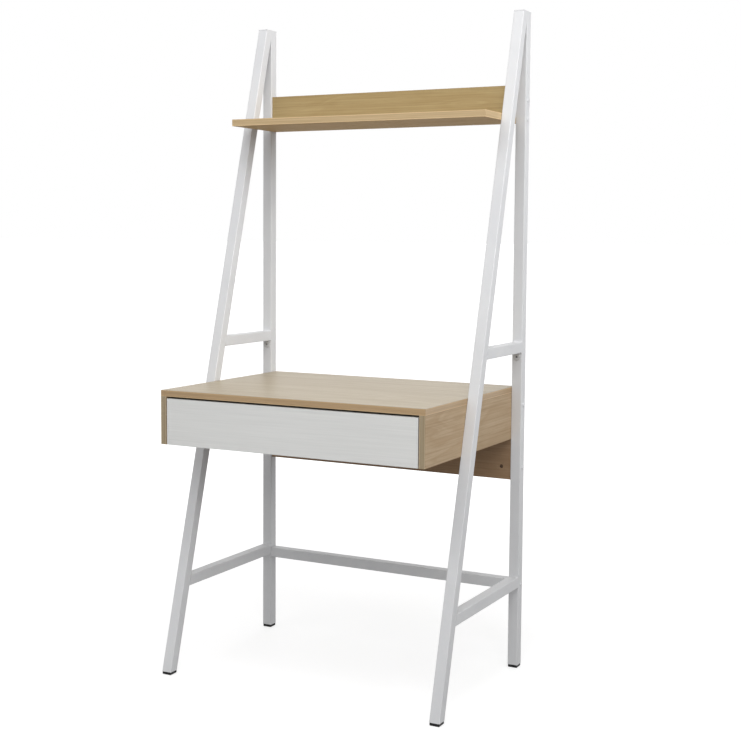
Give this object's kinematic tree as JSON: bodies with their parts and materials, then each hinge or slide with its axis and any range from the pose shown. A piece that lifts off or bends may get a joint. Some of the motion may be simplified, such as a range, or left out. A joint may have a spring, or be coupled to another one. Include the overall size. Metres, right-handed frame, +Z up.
{
  "type": "ladder desk",
  "caption": "Ladder desk with leaning steel side frames, a desk box with a full-width pull-out drawer on ball-bearing slides, and a high narrow shelf with a back lip.",
  "frame": {"origin": "on the floor, under the middle of the whole desk", "axes": "+Z up, +Y towards the wall behind the desk, +X to the right of a person sitting at the desk"},
  "size_m": [0.8126, 0.56, 1.74],
  "materials": {
    "powder_coat": "satin white powder coat",
    "oak_board": "light oak woodgrain laminate, matt",
    "white_board": "white matt laminate",
    "drawer_board": "white melamine",
    "hardboard": "white-faced hardboard",
    "zinc_steel": "bright zinc plate",
    "ball_steel": "polished",
    "foot_plastic": "moulded black",
    "bush_plastic": "moulded white",
    "beech": "raw beech"
  },
  "bodies": {
    "frame_and_boards": {"back_panel": "oak_board", "barrel_nuts": "zinc_steel", "box_cam_bolts": "zinc_steel", "box_cam_locks": "zinc_steel", "box_dowels": "beech", "box_slide_screws": "zinc_steel", "cross_rail_bolts": "powder_coat", "desk_top": "oak_board", "front_leg_bolts": "zinc_steel", "front_leg_rivet_nuts": "zinc_steel", "left_box_side": "oak_board", "left_front_foot": "foot_plastic", "left_front_leg": "powder_coat", "left_lower_strut": "powder_coat", "left_rear_foot": "foot_plastic", "left_rear_leg": "powder_coat", "left_slide_outer": "zinc_steel", "left_top_plate": "powder_coat", "left_upper_strut": "powder_coat", "rail_end_plates": "zinc_steel", "rear_cross_rail": "powder_coat", "rear_leg_bolts": "powder_coat", "right_box_side": "oak_board", "right_front_foot": "foot_plastic", "right_front_leg": "powder_coat", "right_lower_strut": "powder_coat", "right_rear_foot": "foot_plastic", "right_rear_leg": "powder_coat", "right_slide_outer": "zinc_steel", "right_top_plate": "powder_coat", "right_upper_strut": "powder_coat", "shelf": "oak_board", "shelf_back_lip": "oak_board", "shelf_lip_screws": "zinc_steel", "wall_fixing_bushes": "bush_plastic"},
    "drawer": {"drawer_front": "white_board", "drawer_left_side": "drawer_board", "drawer_right_side": "drawer_board", "drawer_back": "drawer_board", "drawer_bottom": "hardboard", "drawer_cam_locks": "zinc_steel", "drawer_cam_bolts": "zinc_steel", "drawer_back_screws": "zinc_steel", "drawer_bottom_nails": "zinc_steel", "drawer_slide_screws": "zinc_steel", "left_slide_inner": "zinc_steel", "right_slide_inner": "zinc_steel"},
    "left_slide_middle": {"left_slide_middle": "zinc_steel"},
    "left_outer_cage": {"left_outer_ball_cage": "zinc_steel", "left_outer_balls": "ball_steel"},
    "left_inner_cage": {"left_inner_ball_cage": "zinc_steel", "left_inner_balls": "ball_steel"},
    "right_slide_middle": {"right_slide_middle": "zinc_steel"},
    "right_outer_cage": {"right_outer_ball_cage": "zinc_steel", "right_outer_balls": "ball_steel"},
    "right_inner_cage": {"right_inner_ball_cage": "zinc_steel", "right_inner_balls": "ball_steel"}
  },
  "joints": [
    {"name": "drawer_slide", "type": "slide", "parent": "frame_and_boards", "child": "drawer", "axis": [0, -1, 0], "range_m": [0, 0.45]},
    {"name": "left_middle_slide", "type": "slide", "parent": "frame_and_boards", "child": "left_slide_middle", "axis": [0, -1, 0], "range_m": [0, 0.225]},
    {"name": "left_outer_cage_slide", "type": "slide", "parent": "frame_and_boards", "child": "left_outer_cage", "axis": [0, -1, 0], "range_m": [0, 0.1125]},
    {"name": "left_inner_cage_slide", "type": "slide", "parent": "frame_and_boards", "child": "left_inner_cage", "axis": [0, -1, 0], "range_m": [0, 0.3375]},
    {"name": "right_middle_slide", "type": "slide", "parent": "frame_and_boards", "child": "right_slide_middle", "axis": [0, -1, 0], "range_m": [0, 0.225]},
    {"name": "right_outer_cage_slide", "type": "slide", "parent": "frame_and_boards", "child": "right_outer_cage", "axis": [0, -1, 0], "range_m": [0, 0.1125]},
    {"name": "right_inner_cage_slide", "type": "slide", "parent": "frame_and_boards", "child": "right_inner_cage", "axis": [0, -1, 0], "range_m": [0, 0.3375]}
  ],
  "couplings": [
    {"joint": "left_middle_slide", "follows": "drawer_slide", "ratio": 0.5},
    {"joint": "left_outer_cage_slide", "follows": "drawer_slide", "ratio": 0.25},
    {"joint": "left_inner_cage_slide", "follows": "drawer_slide", "ratio": 0.75},
    {"joint": "right_middle_slide", "follows": "drawer_slide", "ratio": 0.5},
    {"joint": "right_outer_cage_slide", "follows": "drawer_slide", "ratio": 0.25},
    {"joint": "right_inner_cage_slide", "follows": "drawer_slide", "ratio": 0.75}
  ]
}
